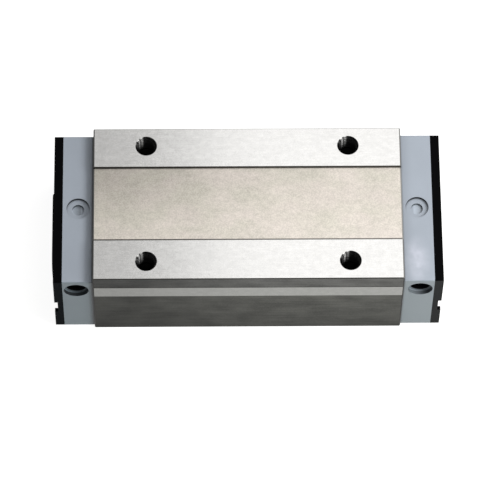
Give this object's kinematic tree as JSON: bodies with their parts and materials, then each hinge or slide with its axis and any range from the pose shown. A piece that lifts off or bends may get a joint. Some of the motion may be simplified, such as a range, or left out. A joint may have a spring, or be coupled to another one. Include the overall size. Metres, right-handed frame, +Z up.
{
  "type": "linear bearing block",
  "caption": "Long profile-rail ball carriage: ground steel block with recessed top band, moulded end caps, lipped end seals and inner ball circuits.",
  "frame": {"origin": "centre of the base, in the plane of the end caps' underside", "axes": "+X along the rail, +Y to the rear long side, +Z up from the base to the ground pads"},
  "size_m": [0.097, 0.042, 0.0268],
  "materials": {
    "block_steel": "ground pads and band, unground elsewhere",
    "cap_plastic": "satin moulded",
    "guide_plastic": "moulded",
    "tube_plastic": "extruded",
    "retainer_plastic": "moulded",
    "ball_steel": "polished",
    "seal_rubber": "moulded nitrile",
    "core_steel": "dark stamped sheet",
    "screw_steel": "dark oxide"
  },
  "bodies": {
    "root": {"ball_circuit_lower_front": "ball_steel", "ball_circuit_lower_rear": "ball_steel", "ball_circuit_upper_front": "ball_steel", "ball_circuit_upper_rear": "ball_steel", "bottom_seal_front": "seal_rubber", "bottom_seal_rear": "seal_rubber", "cap_screws_left": "screw_steel", "cap_screws_right": "screw_steel", "carriage_body": "block_steel", "end_cap_left": "cap_plastic", "end_cap_right": "cap_plastic", "end_seal_left": "seal_rubber", "end_seal_right": "seal_rubber", "grease_plug_left": "screw_steel", "grease_plug_right": "screw_steel", "lower_retainer_front": "retainer_plastic", "lower_retainer_rear": "retainer_plastic", "return_guide_front_left": "guide_plastic", "return_guide_front_right": "guide_plastic", "return_guide_rear_left": "guide_plastic", "return_guide_rear_right": "guide_plastic", "return_tube_lower_front": "tube_plastic", "return_tube_lower_rear": "tube_plastic", "return_tube_upper_front": "tube_plastic", "return_tube_upper_rear": "tube_plastic", "seal_core_left": "core_steel", "seal_core_right": "core_steel", "side_retainer_front": "retainer_plastic", "side_retainer_rear": "retainer_plastic", "upper_retainer": "retainer_plastic"}
  },
  "joints": []
}
